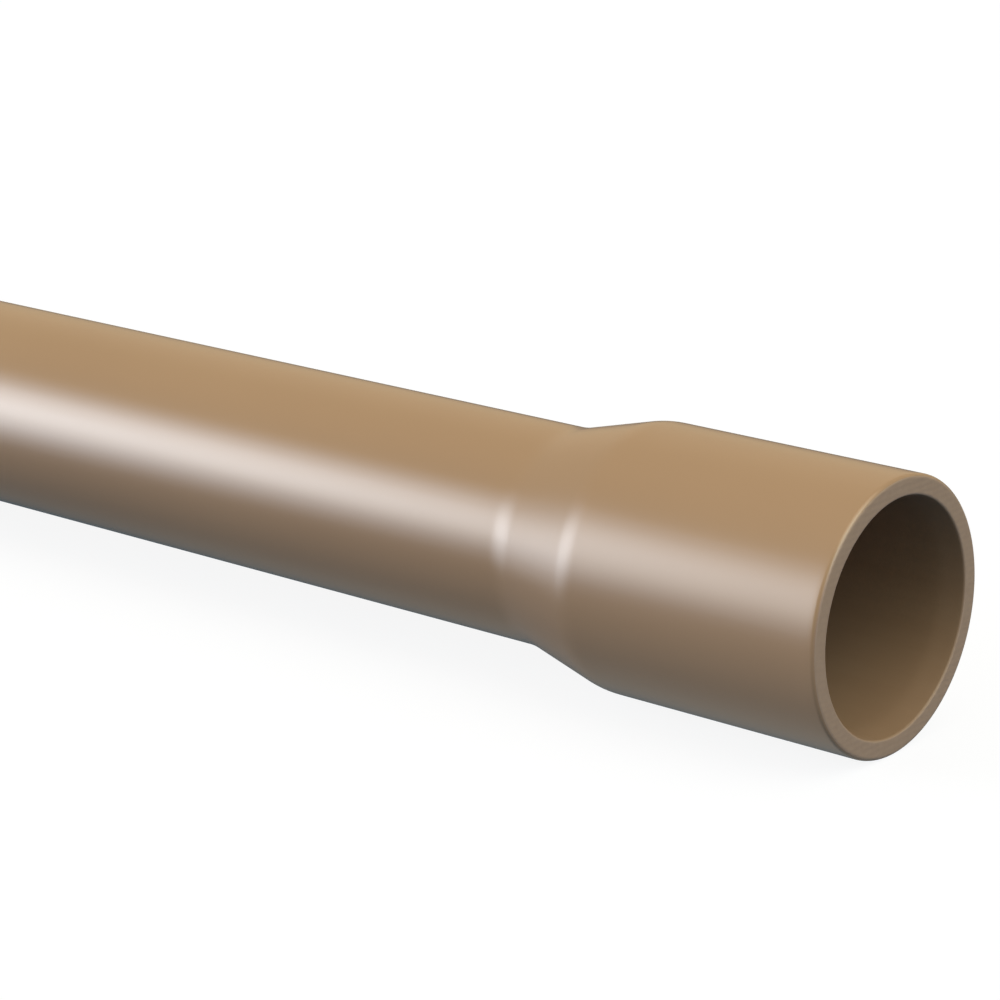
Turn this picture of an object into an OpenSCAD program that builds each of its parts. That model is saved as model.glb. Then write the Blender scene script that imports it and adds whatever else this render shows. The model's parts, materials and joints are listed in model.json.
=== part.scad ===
// A length of plain plastic pipe with a socket belled onto one end.
// It is one piece, turned about X. The socket's mouth faces +X, and the barrel runs from
// the bell toward -X. The origin is on the axis where the socket's straight bore begins,
// behind the short taper that leads the other pipe in.

/* [Barrel] */
// Overall length, from the socket's mouth to the plain end
pipe_length = 3000; // [300:10:6000]
// Outside diameter of the barrel
barrel_od = 25; // [20:1:63]
// Wall thickness of the barrel
barrel_wall = 2.8; // [1.5:0.1:5]
// Edge break around the outside of the plain end
plain_end_break = 0.4; // [0.2:0.1:1]

/* [Socket] */
// Depth of the socket, from its mouth to where its bore meets the bell's cone
socket_depth = 32; // [20:0.5:60]
// Wall thickness of the socket
socket_wall = 2.65; // [1.5:0.05:5]
// Gap left all round a pipe of the same size that is pushed into the socket
socket_clearance = 0.15; // [0.05:0.05:0.4]
// Length of the slight taper that leads the other pipe into the socket
lead_in_length = 3; // [1:0.5:8]
// How far the taper has opened out from the bore at the mouth
lead_in_rise = 0.4; // [0.1:0.05:0.5]
// Radius of the rounded outer edge of the mouth
mouth_round = 0.5; // [0.2:0.1:1]
// Radius of the rounded inner edge of the mouth
mouth_inner_round = 0.3; // [0.1:0.05:0.5]

/* [Bell] */
// Slope of the bell's cone to the axis, in degrees
cone_angle = 14.5; // [8:0.5:25]
// Outside radius of the bend from the socket into the cone
shoulder_radius = 10.5; // [8:0.5:40]
// Outside radius of the bend from the cone into the barrel
throat_radius = 12; // [4:0.5:40]

/* [Hidden] */

$fn = 128;
bend_steps = 8;

barrel_outer = barrel_od / 2;
barrel_inner = barrel_outer - barrel_wall;
socket_inner = barrel_outer + socket_clearance;
socket_outer = socket_inner + socket_wall;

// The mouth's flat face, and the share of it that each rounded edge may take
mouth_inner = socket_inner + lead_in_rise;
mouth_face = socket_outer - mouth_inner;
outer_edge = min(mouth_round, 0.55 * mouth_face);
inner_edge = min(mouth_inner_round, 0.35 * mouth_face);
lead_in_angle = atan(lead_in_rise / lead_in_length);

// The wall passes evenly from the socket's thickness to the barrel's through the cone
cone_wall = (socket_wall + barrel_wall) / 2;
cone_wall_upright = cone_wall / cos(cone_angle);

// Distances from the mouth to the corners where the straight stretches would meet
shoulder_inside = socket_depth;
shoulder_outside = shoulder_inside + (cone_wall_upright - socket_wall) / tan(cone_angle);
throat_outside = shoulder_outside + (socket_outer - barrel_outer) / tan(cone_angle);
throat_inside = shoulder_outside
    + (socket_outer - cone_wall_upright - barrel_inner) / tan(cone_angle);

// Both bends shrink together where the cone is too short to hold them
cone_slant = (socket_outer - barrel_outer) / sin(cone_angle);
bends_slant = (shoulder_radius + throat_radius) * tan(cone_angle / 2);
bend_scale = min(1, 0.9 * cone_slant / bends_slant);
shoulder_bend = shoulder_radius * bend_scale;
throat_bend = throat_radius * bend_scale;

// Points of the arc that rounds a corner, where a line that heads along the angle
// `from` turns to head along the angle `to`
function bend(corner, radius, from, to) =
    let (
        turn = to - from,
        side = sign(turn),
        reach = radius * tan(abs(turn) / 2),
        start = corner - reach * [cos(from), sin(from)],
        centre = start + side * radius * [-sin(from), cos(from)]
    )
    [
        for (step = [0:bend_steps])
            let (heading = from + turn * step / bend_steps)
            centre + side * radius * [sin(heading), -cos(heading)]
    ];

// Half section of the wall as [distance from the mouth, radius]:
// out over the mouth's edge, along the outside, and back through the bore
wall_section = concat(
    bend([0, socket_outer], outer_edge, 90, 0),
    bend([shoulder_outside, socket_outer], shoulder_bend, 0, -cone_angle),
    bend([throat_outside, barrel_outer], throat_bend, -cone_angle, 0),
    [
        [pipe_length - plain_end_break, barrel_outer],
        [pipe_length, barrel_outer - plain_end_break],
        [pipe_length, barrel_inner]
    ],
    bend([throat_inside, barrel_inner], throat_bend + barrel_wall, 180, 180 - cone_angle),
    bend([shoulder_inside, socket_inner], shoulder_bend - socket_wall, 180 - cone_angle, 180),
    [
        [lead_in_length, socket_inner]
    ],
    bend([0, mouth_inner], inner_edge, 180 - lead_in_angle, 90)
);

module pipe() {
    color("#a88c70")
        rotate([0, 90, 0])
            rotate_extrude()
                polygon([for (point = wall_section) [point.y, lead_in_length - point.x]]);
}

pipe();
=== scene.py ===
import json
import math

import bmesh
import bpy
from mathutils import Euler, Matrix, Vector


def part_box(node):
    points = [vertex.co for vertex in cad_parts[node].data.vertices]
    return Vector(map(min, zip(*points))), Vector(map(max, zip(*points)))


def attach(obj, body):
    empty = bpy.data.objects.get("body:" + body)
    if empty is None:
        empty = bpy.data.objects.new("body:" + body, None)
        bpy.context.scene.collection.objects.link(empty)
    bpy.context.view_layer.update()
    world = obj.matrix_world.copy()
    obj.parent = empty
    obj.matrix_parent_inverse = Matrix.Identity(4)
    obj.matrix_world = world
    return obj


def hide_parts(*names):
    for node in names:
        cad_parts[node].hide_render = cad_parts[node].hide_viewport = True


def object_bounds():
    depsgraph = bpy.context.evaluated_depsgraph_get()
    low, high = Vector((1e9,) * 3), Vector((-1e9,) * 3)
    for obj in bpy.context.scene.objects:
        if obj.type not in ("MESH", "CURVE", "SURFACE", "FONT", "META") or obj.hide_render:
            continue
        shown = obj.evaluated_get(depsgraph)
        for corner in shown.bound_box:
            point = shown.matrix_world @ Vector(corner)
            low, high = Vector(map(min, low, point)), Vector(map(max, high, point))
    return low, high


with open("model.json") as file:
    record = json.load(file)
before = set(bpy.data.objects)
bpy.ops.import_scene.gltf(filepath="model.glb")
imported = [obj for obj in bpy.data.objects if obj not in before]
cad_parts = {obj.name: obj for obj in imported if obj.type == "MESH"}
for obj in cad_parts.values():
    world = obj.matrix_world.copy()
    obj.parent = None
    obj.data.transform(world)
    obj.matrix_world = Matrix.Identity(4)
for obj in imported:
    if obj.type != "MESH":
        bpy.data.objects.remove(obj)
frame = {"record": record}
cad_low, cad_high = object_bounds()
scene = bpy.context.scene

# ---------------------------------------------------------------- pipe
# One length of extruded unplasticised PVC pipe. Its end was heated and pushed over a
# mandrel, which belled it into a socket, so the wall runs on through the bell unbroken.
# It is turned here the same way: the wall's section is drawn once and spun about X.
MM = 0.001
mounts = {mount["name"]: mount for mount in frame["record"]["mounts"]}
pipe_low, pipe_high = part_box("pipe")
mouth_x = pipe_high.x
plain_end_x = pipe_low.x
# each outer and inner is a radius
socket_outer = pipe_high.z
socket_inner = mounts["socket"]["dims"]["r_mm"] * MM
barrel_outer = mounts["spigot"]["dims"]["r_mm"] * MM
barrel_wall = 2.8 * MM
barrel_inner = barrel_outer - barrel_wall
bore_start_x = mounts["socket"]["pos_m"][0]
socket_depth = 32 * MM
lead_in_rise = 0.4 * MM
mouth_inner = socket_inner + lead_in_rise
mouth_round = 0.5 * MM
mouth_inner_round = 0.3 * MM
cone_angle = math.radians(14.5)
shoulder_radius = 10.5 * MM
throat_radius = 12 * MM
plain_end_break = 0.4 * MM
edge_softening = 0.12 * MM
support_gap = 0.6 * MM
face_gap = 0.1 * MM
merge_gap = 0.0001 * MM
bend_steps = 20
edge_steps = 9
face_rings = 3
lead_in_rings = 4
cone_rings = 4
socket_rings = 12
barrel_rings = 60
turns_round = 192


def draw_run(bm, tip, x, radius, rings=1):
    """Draws a straight run of the section from its last vertex to a new one."""
    start, end = tip.co.copy(), Vector((x, 0, radius))
    for ring in range(1, rings + 1):
        new = bmesh.ops.extrude_vert_indiv(bm, verts=[tip])["verts"][0]
        new.co = start.lerp(end, ring / rings)
        tip = new
    return tip


def draw_bend(bm, tip, heading, turn, radius, steps):
    """Draws an arc that turns the section by an angle from its heading. Both count from +X towards +Z."""
    side = math.copysign(1, turn)
    to_centre = Vector((-math.sin(heading), 0, math.cos(heading))) * side * radius
    bent = bmesh.ops.spin(
        bm, geom=[tip], cent=tip.co + to_centre, axis=(0, -1, 0), dvec=(0, 0, 0),
        angle=turn, steps=steps, use_duplicate=False,
    )
    return next(v for v in bent["geom_last"] if isinstance(v, bmesh.types.BMVert))


def bend_reach(radius, turn):
    """How far from a corner its bend starts."""
    return radius * math.tan(abs(turn) / 2)


socket_wall = socket_outer - socket_inner
cone_wall_upright = (socket_wall + barrel_wall) / 2 / math.cos(cone_angle)
cone_slope = math.tan(cone_angle)
along_cone = Vector((math.cos(cone_angle), 0, math.sin(cone_angle)))
shoulder_outside = socket_depth + (cone_wall_upright - socket_wall) / cone_slope
throat_outside = shoulder_outside + (socket_outer - barrel_outer) / cone_slope
throat_inside = shoulder_outside + (socket_outer - cone_wall_upright - barrel_inner) / cone_slope
lead_in_angle = math.atan((mouth_inner - socket_inner) / (mouth_x - bore_start_x))
along_lead_in = Vector((math.cos(lead_in_angle), 0, math.sin(lead_in_angle)))
lead_in_turn = math.radians(90) - lead_in_angle
inner_edge = bend_reach(mouth_inner_round, lead_in_turn)

# the mouth's flat face and its rounded outer edge
bm = bmesh.new()
first = bm.verts.new((mouth_x, 0, mouth_inner + inner_edge))
tip = draw_run(bm, first, mouth_x, first.co.z + face_gap)
tip = draw_run(bm, tip, mouth_x, socket_outer - mouth_round - face_gap, face_rings)
tip = draw_run(bm, tip, mouth_x, socket_outer - mouth_round)
tip = draw_bend(bm, tip, math.radians(90), math.radians(90), mouth_round, edge_steps)
# the outside: socket, shoulder, cone, throat, barrel
reach = bend_reach(shoulder_radius, cone_angle)
tip = draw_run(bm, tip, tip.co.x - support_gap, socket_outer)
tip = draw_run(bm, tip, mouth_x - shoulder_outside + reach + support_gap, socket_outer, socket_rings)
tip = draw_run(bm, tip, mouth_x - shoulder_outside + reach, socket_outer)
tip = draw_bend(bm, tip, math.pi, cone_angle, shoulder_radius, bend_steps)
reach = bend_reach(throat_radius, cone_angle)
cone_end = Vector((mouth_x - throat_outside, 0, barrel_outer)) + reach * along_cone
tip = draw_run(bm, tip, cone_end.x, cone_end.z, cone_rings)
tip = draw_bend(bm, tip, math.pi + cone_angle, -cone_angle, throat_radius, bend_steps)
tip = draw_run(bm, tip, tip.co.x - support_gap, barrel_outer)
tip = draw_run(bm, tip, plain_end_x + plain_end_break + support_gap, barrel_outer, barrel_rings)
# the plain end, sawn square, with its outer edge broken
tip = draw_run(bm, tip, plain_end_x + plain_end_break, barrel_outer)
end_corners = [tip]
tip = draw_run(bm, tip, plain_end_x, barrel_outer - plain_end_break)
end_corners.append(tip)
tip = draw_run(bm, tip, plain_end_x, barrel_inner)
end_corners.append(tip)
# the bore: back through the barrel, the throat, the cone, the socket and its lead-in
reach = bend_reach(throat_radius + barrel_wall, cone_angle)
tip = draw_run(bm, tip, plain_end_x + support_gap, barrel_inner)
tip = draw_run(bm, tip, mouth_x - throat_inside - reach - support_gap, barrel_inner, barrel_rings)
tip = draw_run(bm, tip, mouth_x - throat_inside - reach, barrel_inner)
tip = draw_bend(bm, tip, 0, cone_angle, throat_radius + barrel_wall, bend_steps)
reach = bend_reach(shoulder_radius - socket_wall, cone_angle)
cone_end = Vector((mouth_x - socket_depth, 0, socket_inner)) - reach * along_cone
tip = draw_run(bm, tip, cone_end.x, cone_end.z, cone_rings)
tip = draw_bend(bm, tip, cone_angle, -cone_angle, shoulder_radius - socket_wall, bend_steps)
tip = draw_run(bm, tip, tip.co.x + support_gap, socket_inner)
tip = draw_run(bm, tip, bore_start_x - support_gap / 2, socket_inner, socket_rings)
lead_in_end = Vector((mouth_x, 0, mouth_inner)) - inner_edge * along_lead_in
lead_in_start = Vector((bore_start_x, 0, socket_inner)) + support_gap / 2 * along_lead_in
tip = draw_run(bm, tip, lead_in_start.x, lead_in_start.z)
tip = draw_run(bm, tip, lead_in_end.x, lead_in_end.z, lead_in_rings)
tip = draw_bend(bm, tip, lead_in_angle, lead_in_turn, mouth_inner_round, edge_steps)
bmesh.ops.pointmerge(bm, verts=[tip, first], merge_co=first.co)
bmesh.ops.bevel(
    bm, geom=end_corners, offset=edge_softening, segments=3, profile=0.5,
    affect="VERTICES", material=-1,
)
bmesh.ops.spin(
    bm, geom=bm.verts[:] + bm.edges[:], cent=(0, 0, 0), axis=(1, 0, 0), dvec=(0, 0, 0),
    angle=math.tau, steps=turns_round, use_merge=True, use_duplicate=False,
)
bmesh.ops.remove_doubles(bm, verts=bm.verts, dist=merge_gap)
bmesh.ops.recalc_face_normals(bm, faces=bm.faces)
# the finishes: 0 is the skin, 1 the sawn ends and 2 the bore
sawn_depth = 0.05 * MM
for face in bm.faces:
    face.smooth = True
    middle = face.calc_center_median()
    sawn = middle.x > mouth_x - sawn_depth or middle.x < plain_end_x + sawn_depth
    inside = face.normal.dot(Vector((0, middle.y, middle.z))) < 0
    face.material_index = 1 if sawn else 2 if inside else 0
pipe_mesh = bpy.data.meshes.new("belled_pipe")
bm.to_mesh(pipe_mesh)
bm.free()
pipe = bpy.data.objects.new("belled_pipe", pipe_mesh)
scene.collection.objects.link(pipe)


def linear(hex_colour):
    """An sRGB hex colour as linear red, green, blue and alpha."""
    parts = [int(hex_colour[i : i + 2], 16) / 255 for i in (1, 3, 5)]
    return tuple(c / 12.92 if c <= 0.04045 else ((c + 0.055) / 1.055) ** 2.4 for c in parts) + (1.0,)


def add_node(tree, kind, settings=None, inputs=None):
    """Adds a node, sets its properties, and sets its inputs, or links those given as a socket."""
    node = tree.nodes.new(kind)
    for name, value in (settings or {}).items():
        setattr(node, name, value)
    for name, value in (inputs or {}).items():
        if isinstance(value, bpy.types.NodeSocket):
            tree.links.new(value, node.inputs[name])
        else:
            node.inputs[name].default_value = value
    return node


def bare_material(name):
    """A material whose node tree is still empty."""
    material = bpy.data.materials.new(name)
    material.use_nodes = True
    material.node_tree.nodes.clear()
    return material


# The die leaves the skin smooth and glossy, with faint lines drawn out along the pipe.
pvc = bare_material("extruded_brown_pvc")
tree = pvc.node_tree
place = add_node(tree, "ShaderNodeTexCoord").outputs["Object"]
# clouding in the pigment
cloud_width = 70 * MM
clouds = add_node(tree, "ShaderNodeTexNoise", inputs={
    "Vector": place, "Scale": 1 / cloud_width, "Detail": 3.0, "Roughness": 0.5,
})
# die lines, which are drawn wider and shorter than the real ones so that they show
die_line_width = 1.25 * MM
die_line_length = 62.5 * MM
drawn_out = add_node(tree, "ShaderNodeMapping", inputs={
    "Vector": place, "Scale": (die_line_width / die_line_length, 1.0, 1.0),
})
die_lines = add_node(tree, "ShaderNodeTexNoise", inputs={
    "Vector": drawn_out.outputs[0], "Scale": 1 / die_line_width, "Detail": 2.0, "Roughness": 0.5,
})
tint = add_node(tree, "ShaderNodeMapRange", inputs={
    "Value": clouds.outputs["Fac"], "From Min": 0.3, "From Max": 0.7, "To Min": 0.0, "To Max": 1.0,
})
colour = add_node(tree, "ShaderNodeMix", {"data_type": "RGBA"}, {
    "Factor": tint.outputs[0], "A": linear("#a28368"), "B": linear("#a8896d"),
})
gloss = add_node(tree, "ShaderNodeMapRange", inputs={
    "Value": die_lines.outputs["Fac"], "From Min": 0.3, "From Max": 0.7, "To Min": 0.21, "To Max": 0.25,
})
skin = add_node(tree, "ShaderNodeBump", inputs={
    "Height": die_lines.outputs["Fac"], "Strength": 0.25, "Distance": 0.02 * MM,
})
shader = add_node(tree, "ShaderNodeBsdfPrincipled", inputs={
    "Base Color": colour.outputs["Result"], "Roughness": gloss.outputs[0], "Normal": skin.outputs[0],
    "IOR": 1.54, "Specular IOR Level": 0.85,
})
add_node(tree, "ShaderNodeOutputMaterial", inputs={"Surface": shader.outputs["BSDF"]})
pipe_mesh.materials.append(pvc)

# The saw leaves the end faces paler and matt, with fine marks across them.
sawn_pvc = bare_material("sawn_brown_pvc")
tree = sawn_pvc.node_tree
place = add_node(tree, "ShaderNodeTexCoord").outputs["Object"]
# torn grain
grain_width = 0.7 * MM
grain = add_node(tree, "ShaderNodeTexNoise", inputs={
    "Vector": place, "Scale": 1 / grain_width, "Detail": 3.0,
})
colour = add_node(tree, "ShaderNodeMix", {"data_type": "RGBA"}, {
    "Factor": grain.outputs["Fac"], "A": linear("#9d8471"), "B": linear("#a8907e"),
})
# marks of the saw's teeth; at a scale of 1 the bands are a tenth of pi apart
saw_mark_pitch = 0.7 * MM
saw_marks = add_node(tree, "ShaderNodeTexWave", {"wave_type": "BANDS", "bands_direction": "Z"}, {
    "Vector": place, "Scale": math.pi / 10 / saw_mark_pitch,
    "Distortion": 2.0, "Detail": 2.0, "Detail Scale": 1.5,
})
scored = add_node(tree, "ShaderNodeBump", inputs={
    "Height": saw_marks.outputs["Fac"], "Strength": 0.3, "Distance": 0.03 * MM,
})
shader = add_node(tree, "ShaderNodeBsdfPrincipled", inputs={
    "Base Color": colour.outputs["Result"], "Roughness": 0.5, "Normal": scored.outputs[0], "IOR": 1.54,
})
add_node(tree, "ShaderNodeOutputMaterial", inputs={"Surface": shader.outputs["BSDF"]})
pipe_mesh.materials.append(sawn_pvc)

# Inside, the die's core and the mandrel leave the bore duller than the skin; its colour is painted shade, a
# darker and greyer copy of the skin's.
shaded_bore_pvc = bare_material("brown_pvc_bore_painted_shade")
tree = shaded_bore_pvc.node_tree
place = add_node(tree, "ShaderNodeTexCoord").outputs["Object"]
# drag marks
drag_mark_width = 1.5 * MM
drag_mark_length = 30 * MM
dragged = add_node(tree, "ShaderNodeMapping", inputs={
    "Vector": place, "Scale": (drag_mark_width / drag_mark_length, 1.0, 1.0),
})
drag_marks = add_node(tree, "ShaderNodeTexNoise", inputs={
    "Vector": dragged.outputs[0], "Scale": 1 / drag_mark_width, "Detail": 3.0, "Roughness": 0.6,
})
# painted shade: the bore's two colours are darker and greyer than the skin's, and the drag marks mix them
colour = add_node(tree, "ShaderNodeMix", {"data_type": "RGBA"}, {
    "Factor": drag_marks.outputs["Fac"], "A": linear("#8f755f"), "B": linear("#977e68"),
})
haze = add_node(tree, "ShaderNodeMapRange", inputs={
    "Value": drag_marks.outputs["Fac"], "From Min": 0.3, "From Max": 0.7, "To Min": 0.38, "To Max": 0.48,
})
worn = add_node(tree, "ShaderNodeBump", inputs={
    "Height": drag_marks.outputs["Fac"], "Strength": 0.3, "Distance": 0.02 * MM,
})
shader = add_node(tree, "ShaderNodeBsdfPrincipled", inputs={
    "Base Color": colour.outputs["Result"], "Roughness": haze.outputs[0], "Normal": worn.outputs[0],
    "IOR": 1.54,
})
add_node(tree, "ShaderNodeOutputMaterial", inputs={"Surface": shader.outputs["BSDF"]})
pipe_mesh.materials.append(shaded_bore_pvc)
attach(pipe, "root")
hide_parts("pipe")

# ---------------------------------------------------------------- floor
# A pale seamless paper sweep, which the pipe lies on. It is white to the eye and keeps
# the pipe's shadow. The light that paper throws back up is painted below the horizon.
floor_reach = 40
floor_mesh = bpy.data.meshes.new("studio_floor")
bm = bmesh.new()
bmesh.ops.create_grid(bm, x_segments=1, y_segments=1, size=floor_reach)
bmesh.ops.translate(bm, verts=bm.verts, vec=(0, 0, cad_low.z))
bm.to_mesh(floor_mesh)
bm.free()
floor = bpy.data.objects.new("studio_floor", floor_mesh)
scene.collection.objects.link(floor)
floor.visible_diffuse = False
floor.visible_glossy = False
floor.visible_shadow = False
sweep = bare_material("white_paper_sweep")
tree = sweep.node_tree
paper = add_node(tree, "ShaderNodeBsdfDiffuse", inputs={"Color": linear("#60636c")})
glow = add_node(tree, "ShaderNodeEmission", inputs={"Color": linear("#ffffff"), "Strength": 0.888})
lit = add_node(tree, "ShaderNodeAddShader", inputs={0: paper.outputs[0], 1: glow.outputs[0]})
add_node(tree, "ShaderNodeOutputMaterial", inputs={"Surface": lit.outputs[0]})
floor_mesh.materials.append(sweep)

# ---------------------------------------------------------------- light
# A product studio round the pipe: a few soft lamps, paper underneath and dim walls. It is
# painted as a sky, far away, so that all 3 m of the pipe are lit alike.
world = bpy.data.worlds.new("studio")
scene.world = world
world.use_nodes = True
tree = world.node_tree
tree.nodes.clear()
towards = add_node(tree, "ShaderNodeTexCoord").outputs["Generated"]


def local_axes(azimuth, elevation, lean):
    """Directions as a lamp has them: Y ahead of it, X across and Z up. Azimuth counts from -Y towards -X."""
    lean, pitch, yaw = (math.radians(angle) for angle in (-lean, elevation, 180 - azimuth))
    turned = Euler((pitch, lean, yaw), "YXZ").to_matrix().to_euler()
    local = add_node(tree, "ShaderNodeMapping", {"vector_type": "TEXTURE"}, {
        "Vector": towards, "Rotation": tuple(turned),
    })
    return add_node(tree, "ShaderNodeSeparateXYZ", inputs={0: local.outputs[0]}).outputs


def off_axis(across, ahead):
    """The angle, in degrees, that a direction lies off a lamp's axis to one side."""
    angle = add_node(tree, "ShaderNodeMath", {"operation": "ARCTAN2"}, {0: across, 1: ahead})
    size = add_node(tree, "ShaderNodeMath", {"operation": "ABSOLUTE"}, {0: angle.outputs[0]})
    return add_node(tree, "ShaderNodeMath", {"operation": "DEGREES"}, {0: size.outputs[0]}).outputs[0]


def fade(angle, half, softness):
    """1 inside an angle and 0 outside it, with a soft edge."""
    return add_node(tree, "ShaderNodeMapRange", {"interpolation_type": "SMOOTHSTEP"}, {
        "Value": angle, "From Min": half - softness, "From Max": half + softness,
        "To Min": 1.0, "To Max": 0.0,
    }).outputs[0]


def glow_of(share, strength, colour):
    """The light of a lamp, where its share of a direction is more than 0."""
    power = add_node(tree, "ShaderNodeMath", {"operation": "MULTIPLY"}, {0: share, 1: strength})
    return add_node(tree, "ShaderNodeBackground", inputs={
        "Color": linear(colour), "Strength": power.outputs[0],
    }).outputs[0]


def softbox(azimuth, elevation, lean, width, height, strength, colour):
    """A soft-edged rectangle of light, in degrees. Its width and height are each a half and a softness."""
    axes = local_axes(azimuth, elevation, lean)
    across = fade(off_axis(axes["X"], axes["Y"]), *width)
    upright = fade(off_axis(axes["Z"], axes["Y"]), *height)
    share = add_node(tree, "ShaderNodeMath", {"operation": "MULTIPLY"}, {0: across, 1: upright})
    return glow_of(share.outputs[0], strength, colour)


def round_lamp(azimuth, elevation, half, softness, strength, colour):
    """A soft-edged disc of light, in degrees."""
    ahead = local_axes(azimuth, elevation, 0)["Y"]
    angle = add_node(tree, "ShaderNodeMath", {"operation": "ARCCOSINE"}, {0: ahead})
    degrees = add_node(tree, "ShaderNodeMath", {"operation": "DEGREES"}, {0: angle.outputs[0]})
    return glow_of(fade(degrees.outputs[0], half, softness), strength, colour)


sources = [
    # a tall softbox low on the left, and its hotter middle
    softbox(51, 10, 60, (23, 8), (20, 18), 1.612, "#e4efff"),
    softbox(51, 9.6, 46, (11.4, 11.4), (17.2, 18.9), 5.908, "#f5f9ff"),
    # a warm bank overhead, and a wider one before the mouth
    round_lamp(-91.5, 74, 28, 5, 1.22, "#ffead0"),
    round_lamp(-88, 40, 25, 15, 2.07, "#f6ffe8"),
    # a cool window low before the mouth
    round_lamp(-88, 8, 25, 15, 0.798, "#b4c0ff"),
    # the warm far wall, and the light that it throws under the pipe
    round_lamp(142, 22, 22, 15, 0.24, "#ffd5b6"),
    round_lamp(140, -62, 26, 18, 0.36, "#ffebcf"),
]
# the walls: bluish below the horizon, where they are in shade, and warm above it
height = add_node(tree, "ShaderNodeSeparateXYZ", inputs={0: towards}).outputs["Z"]
above = add_node(tree, "ShaderNodeMapRange", inputs={"Value": height, "From Min": -0.05, "From Max": 0.05})
dim = add_node(tree, "ShaderNodeMix", {"data_type": "RGBA"}, {
    "Factor": above.outputs[0], "A": linear("#1f4c63"), "B": linear("#b3ac90"),
})
walls = add_node(tree, "ShaderNodeBackground", inputs={"Color": dim.outputs["Result"]}).outputs[0]
for source in sources:
    walls = add_node(tree, "ShaderNodeAddShader", inputs={0: walls, 1: source}).outputs[0]
# the camera sees plain white behind the pipe
path = add_node(tree, "ShaderNodeLightPath")
white = add_node(tree, "ShaderNodeBackground", inputs={"Color": linear("#ffffff"), "Strength": 1.0})
mix = add_node(tree, "ShaderNodeMixShader", inputs={
    0: path.outputs["Is Camera Ray"], 1: walls, 2: white.outputs[0],
})
add_node(tree, "ShaderNodeOutputWorld", inputs={"Surface": mix.outputs[0]})

# ---------------------------------------------------------------- camera
# A long lens near the mouth and a little above it, which looks back along the pipe's side.
mouth = Vector((mouth_x, 0, 0))
camera_from_mouth = Vector((0.18126, -0.28341, 0.11293))
look_down = math.radians(16.69)
look_left = math.radians(39.65)
camera_data = bpy.data.cameras.new("camera")
camera_data.lens = 122.1
camera_data.sensor_width = 36
camera_data.clip_start = 0.01
camera = bpy.data.objects.new("camera", camera_data)
scene.collection.objects.link(camera)
camera.location = mouth + camera_from_mouth
camera.rotation_euler = (math.radians(90) - look_down, 0, look_left)
scene.camera = camera

scene.view_settings.view_transform = "Standard"
